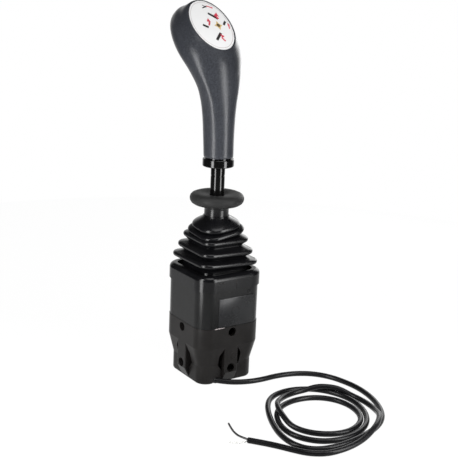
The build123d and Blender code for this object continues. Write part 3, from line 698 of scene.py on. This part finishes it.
def section_place(section, angle):
    """The point of a section at an angle: 0 is the right side and a quarter turn the front."""
    tilt, back_y, back_z, length, half_width, ridge, swell = section
    lean = radians(tilt)
    proud = ridge * (bell(angle, radians(222), 0.24) + bell(angle, radians(-42), 0.24))
    proud += swell * bell(angle, radians(132), 0.62)
    across = (half_width + proud) * cos(angle)
    along = length / 2 + (length / 2 + proud) * sin(angle)
    return Vector((across, back_y + along * cos(lean), back_z + along * sin(lean))) * MM


# %% The grip's skin
COLUMNS = 96
start_clean()
bpy.ops.mesh.primitive_circle_add(vertices=COLUMNS, radius=10 * MM, fill_type="NOTHING")
grip_skin = bpy.context.object
bpy.ops.object.mode_set(mode="EDIT")
bpy.ops.mesh.select_mode(type="EDGE")
bpy.ops.mesh.select_all(action="SELECT")


def place_ring(piece, spot):
    """Puts each selected point of the last ring where spot(angle) says."""
    bpy.ops.object.mode_set(mode="OBJECT")
    chosen = [vertex for vertex in piece.data.vertices if vertex.select]
    for number, vertex in enumerate(chosen):
        vertex.co = spot(tau * number / len(chosen))
    bpy.ops.object.mode_set(mode="EDIT")


FOOT_ROUND = ((1.7, 0.0), (0.7, 0.25), (0.15, 0.8))  # how far in and up, in mm
_, foot_y, foot_z, foot_length, foot_half, *_ = GRIP_SECTIONS[0]
for number, (inward, up) in enumerate(FOOT_ROUND):
    ring = (
        0.0, foot_y + inward, foot_z + up, foot_length - 2 * inward, foot_half - inward, 0.0, 0.0
    )
    if number:
        bpy.ops.mesh.extrude_region_move()
    place_ring(grip_skin, lambda angle: section_place(ring, angle))
for ring in blended(GRIP_SECTIONS, RINGS_BETWEEN)[1:]:
    bpy.ops.mesh.extrude_region_move()
    place_ring(grip_skin, lambda angle: section_place(ring, angle))
print("grip rings", len(grip_skin.data.vertices) // COLUMNS)

# %% The rim round the label
LABEL_CENTRE = Vector((0, 22.45, 387.25))
LABEL_TILT = radians(43.1)
LABEL_LONG = 35.0
LABEL_WIDE = 24.4
ON_LABEL = Matrix.Translation(LABEL_CENTRE * MM) @ Matrix.Rotation(LABEL_TILT, 4, "X")


def rim_place(angle, beyond, height):
    """A point round the label, beyond its edge by so much and this far above its plane."""
    local = ((LABEL_WIDE + beyond) * cos(angle), (LABEL_LONG + beyond) * sin(angle), height)
    return ON_LABEL @ (Vector(local) * MM)


RIM = ((0.9, 0.75), (0.35, 0.7), (0.1, 0.35), (0.1, -2.4))  # beyond the label, above its plane
for beyond, height in RIM:
    bpy.ops.mesh.extrude_region_move()
    place_ring(grip_skin, lambda angle: rim_place(angle, beyond, height))
bpy.ops.mesh.edge_face_add()
bpy.ops.mesh.select_all(action="DESELECT")
bpy.ops.mesh.select_mode(type="VERT")
bpy.ops.object.mode_set(mode="OBJECT")
for vertex in grip_skin.data.vertices[:COLUMNS]:  # the foot's first ring
    vertex.select = True
bpy.ops.object.mode_set(mode="EDIT")
bpy.ops.mesh.edge_face_add()
bpy.ops.mesh.select_all(action="SELECT")
bpy.ops.mesh.normals_make_consistent(inside=False)
bpy.ops.object.mode_set(mode="OBJECT")
smooth(grip_skin, 50)
dress(grip_skin, "grip_plastic")
keep(grip_skin, "grip_skin", "lever")
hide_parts("grip")
print("grip skin", len(grip_skin.data.polygons), "faces")

# %% [markdown]
# ## The label and its pictogram
# The label is a thick, clear-topped oval film that domes slightly. It starts as a circle that
# is stretched to the oval, extruded, and inset in small steps that each rise a little. The
# print is a generic shift pattern: a crossing of black paths, red arrows and an ochre star at
# rest. Every mark is a thin solid that is laid on the dome, so nothing floats or sinks.

# %% The domed label
CROWN = 0.7
EDGE_H = 0.35


def dome(x, m):
    """Height of the label's face above its plane, in mm."""
    return EDGE_H + CROWN * max(0.0, 1 - (x / LABEL_WIDE) ** 2 - (m / LABEL_LONG) ** 2)


def label_rings(steps):
    """Joined ovals in the label's plane, each a share of its size, with height(x, m) in mm."""
    start_clean()
    bpy.ops.mesh.primitive_circle_add(vertices=COLUMNS, radius=MM, fill_type="NOTHING")
    piece = bpy.context.object
    bpy.ops.object.mode_set(mode="EDIT")
    bpy.ops.mesh.select_mode(type="EDGE")
    bpy.ops.mesh.select_all(action="SELECT")
    for number, (share, height) in enumerate(steps):

        def label_place(angle):
            x, m = LABEL_WIDE * share * cos(angle), LABEL_LONG * share * sin(angle)
            return ON_LABEL @ (Vector((x, m, height(x, m))) * MM)

        if number:
            bpy.ops.mesh.extrude_region_move()
        place_ring(piece, label_place)
    return piece


LABEL_EDGE = ((1.0, -2.4), (1.0, 0.1), (0.996, 0.28))  # share, height; open below, in the grip
LABEL_FACE = (0.988, 0.94, 0.85, 0.7, 0.5, 0.25, 0.06)
label_dome = label_rings(
    [(share, lambda x, m, height=height: height) for share, height in LABEL_EDGE]
    + [(share, dome) for share in LABEL_FACE]
)
bpy.ops.mesh.edge_face_add()
bpy.ops.object.mode_set(mode="OBJECT")
smooth(label_dome, 40)
dress(label_dome, "label_film")
keep(label_dome, "label_dome", "lever")
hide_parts("label_plate")
print("label_dome", len(label_dome.data.polygons), "faces")

# %% Marks on the label
PRINT_H = 0.1
PRINT_SUNK = 0.2


def flat_mark(sides, x, m, long, wide, turn=0.0, star=1.0):
    """A flat shape in the label's plane, in mm, turned by degrees.

    Three sides are an arrowhead, four a bar, eight with a star share a star, and more a dot.
    """
    start_clean()
    bpy.ops.mesh.primitive_circle_add(vertices=sides, radius=0.5, fill_type="NGON")
    piece = bpy.context.object
    box, start = (2 ** 0.5, pi / 4) if sides == 4 else (1.0, -pi / 2)
    spun = Matrix.Rotation(start, 4, "Z")
    for number, vertex in enumerate(piece.data.vertices):
        if star != 1.0 and number % 2:
            vertex.co *= star
        vertex.co = spun @ vertex.co * box
        vertex.co.x *= long
        vertex.co.y *= wide
        vertex.co = Matrix.Rotation(radians(turn), 4, "Z") @ vertex.co + Vector((x, m, 0))
    return piece


def lay_print(name, marks, finish):
    """Joins flat marks, gives them a thickness and lays them on the domed label."""
    start_clean()
    for mark in marks:
        mark.select_set(True)
    bpy.context.view_layer.objects.active = marks[0]
    if len(marks) > 1:
        bpy.ops.object.join()
    piece = bpy.context.object
    bpy.ops.object.mode_set(mode="EDIT")
    bpy.ops.mesh.select_all(action="SELECT")
    bpy.ops.mesh.quads_convert_to_tris()
    bpy.ops.mesh.subdivide(number_cuts=3)
    bpy.ops.mesh.select_all(action="SELECT")
    rise = (0, 0, PRINT_H + PRINT_SUNK)
    bpy.ops.mesh.extrude_region_move(TRANSFORM_OT_translate={"value": rise})
    bpy.ops.mesh.select_all(action="SELECT")
    bpy.ops.mesh.normals_make_consistent(inside=False)
    bpy.ops.object.mode_set(mode="OBJECT")
    for vertex in piece.data.vertices:
        vertex.co.z += dome(vertex.co.x, vertex.co.y) - PRINT_SUNK
        vertex.co = ON_LABEL @ (vertex.co * MM)
    piece.data.validate()
    smooth(piece, 30)
    dress(piece, finish)
    keep(piece, name, "lever")
    print(name, len(piece.data.polygons), "faces")


lay_print("print_paths", [
    flat_mark(4, 6.7, 12.0, 12.4, 3.0, -41), flat_mark(4, -8.7, -2.2, 6.8, 2.9, -33),
    flat_mark(4, 17.0, 1.9, 7.0, 2.6, 52), flat_mark(4, 1.4, -17.0, 13.0, 3.0, 47),
    flat_mark(16, 7.7, -1.4, 4.2, 4.2), flat_mark(4, 1.6, 25.2, 7.0, 1.4, 24),
    flat_mark(4, 2.0, 26.6, 5.0, 1.2, -35),
], "print_black")
lay_print("print_star", [flat_mark(8, 7.6, -1.6, 10.4, 13.0, star=0.5)], "print_ochre")
lay_print("print_arrows", [
    flat_mark(3, 11.8, 13.8, 7.4, 7.0, 70), flat_mark(4, 10.6, 10.6, 6.0, 2.4, -62),
    flat_mark(3, -2.0, 5.6, 7.0, 5.4, 80), flat_mark(4, -2.6, 1.4, 6.4, 1.9, 60),
    flat_mark(3, 21.2, -0.2, 4.6, 3.6, 100), flat_mark(4, 20.6, -3.6, 5.0, 1.3, 75),
    flat_mark(3, 5.8, -16.4, 7.0, 5.4, 120), flat_mark(4, 5.6, -21.0, 6.0, 1.8, -60),
    flat_mark(4, 8.0, 25.4, 7.0, 1.3, -28), flat_mark(3, 10.8, 24.4, 3.2, 2.6, 60),
], "print_red")

# %% The fine line inside the label's edge
LINE_STEPS = ((0.935, -0.1), (0.935, 0.07), (0.92, 0.07), (0.92, -0.1))  # share, lift
label_line = label_rings(
    [(share, lambda x, m, lift=lift: dome(x, m) + lift) for share, lift in LINE_STEPS]
)
bpy.ops.object.mode_set(mode="OBJECT")
smooth(label_line, 40)
dress(label_line, "grey_line_and_painted_glint")
keep(label_line, "label_line", "lever")
print("label_line", len(label_line.data.polygons), "faces")

# %% [markdown]
# ## Small marks of moulding, and a painted glint
# Real mouldings tell how they were made: a thin raised field on the upper shell, round pin
# marks and the rubber's parting line. The field's step is real, and its lighter, bluer colour
# is painted sheen, the glow of the right light on that face. A light grey sliver where the two
# shells meet is a painted glint on their edge. Each is a bevelled sliver or a thin ring, and
# stands a fraction of a millimetre proud of its face.

# %% Slivers on the faces
def sliver(name, low, high, finish, corner=0.0, edge=0.1):
    """A thin block from one corner to the other in mm, its outer corners and edges rounded."""
    start_clean()
    middle = [(a + b) / 2 * MM for a, b in zip(low, high)]
    bpy.ops.mesh.primitive_cube_add(size=1, location=middle)
    piece = bpy.context.object
    piece.scale = [(b - a) * MM for a, b in zip(low, high)]
    bpy.ops.object.transform_apply(location=True, rotation=False, scale=True)
    if corner:
        bpy.ops.object.mode_set(mode="EDIT")
        bpy.ops.mesh.select_mode(type="EDGE")
        bpy.ops.mesh.select_all(action="DESELECT")
        bpy.ops.object.mode_set(mode="OBJECT")
        for line in piece.data.edges:
            ends = [piece.data.vertices[index].co for index in line.vertices]
            line.select = abs(ends[0].y - ends[1].y) > 1e-6  # the edges that run through
        bpy.ops.object.mode_set(mode="EDIT")
        bpy.ops.mesh.bevel(offset=corner * MM, segments=5, affect="EDGES")
        bpy.ops.object.mode_set(mode="OBJECT")
    soft = piece.modifiers.new("soft_edges", "BEVEL")
    soft.width = edge * MM
    soft.segments = 2
    soft.angle_limit = radians(50)
    apply_all(piece)
    smooth(piece, 50)
    dress(piece, finish)
    keep(piece, name, "housing")
    print(name, len(piece.data.polygons), "faces")


FACE = 40.2  # how far the shells' faces stand from the axis, in mm
# The raised field is real; its lighter finish is painted sheen on the near face
sliver("front_field", (-18.5, -FACE - 0.16, 67.4), (28.5, -FACE + 1, 100.0), "field_plastic_painted_sheen",
       corner=1.0, edge=0.15)
sliver("cuff_parting_line", (1.7, -41.55, 110.2), (2.2, -40.6, 119.6), "lower_shell")
sliver("cuff_notch", (-19.5, -41.5, 118.2), (-14.5, -40.6, 119.0), "lower_shell")
# A light grey sliver along the shells' meeting edge: a painted glint, where that edge catches light
sliver("split_line_painted_glint", (-23.0, -FACE - 0.3, 66.4), (-11.0, -FACE + 0.5, 66.8), "grey_line_and_painted_glint")


# %% Pin marks
RING_R = 0.22  # half the width of the raised ring, in mm


def pin_mark(name, x, z, radius, slot):
    """A faint raised ring on the near face, where an ejector pin pushed the moulding out."""
    start_clean()
    bpy.ops.mesh.primitive_torus_add(
        major_radius=radius * MM, minor_radius=RING_R * MM, major_segments=48, minor_segments=8,
        location=(x * MM, -(FACE + 0.02) * MM, z * MM), rotation=(pi / 2, 0, 0),
    )
    piece = bpy.context.object
    bpy.ops.object.transform_apply(location=True, rotation=True, scale=True)
    smooth(piece, 60)
    dress(piece, slot)
    keep(piece, name, "housing")
    print(name, 2 * radius, "mm across")


pin_mark("pin_mark_large", 3.0, 84.0, 5.0, "upper_shell")
pin_mark("pin_mark_small", 20.5, 104.0, 1.6, "upper_shell")
pin_mark("pin_mark_low", 2.7, 31.7, 4.0, "lower_shell")
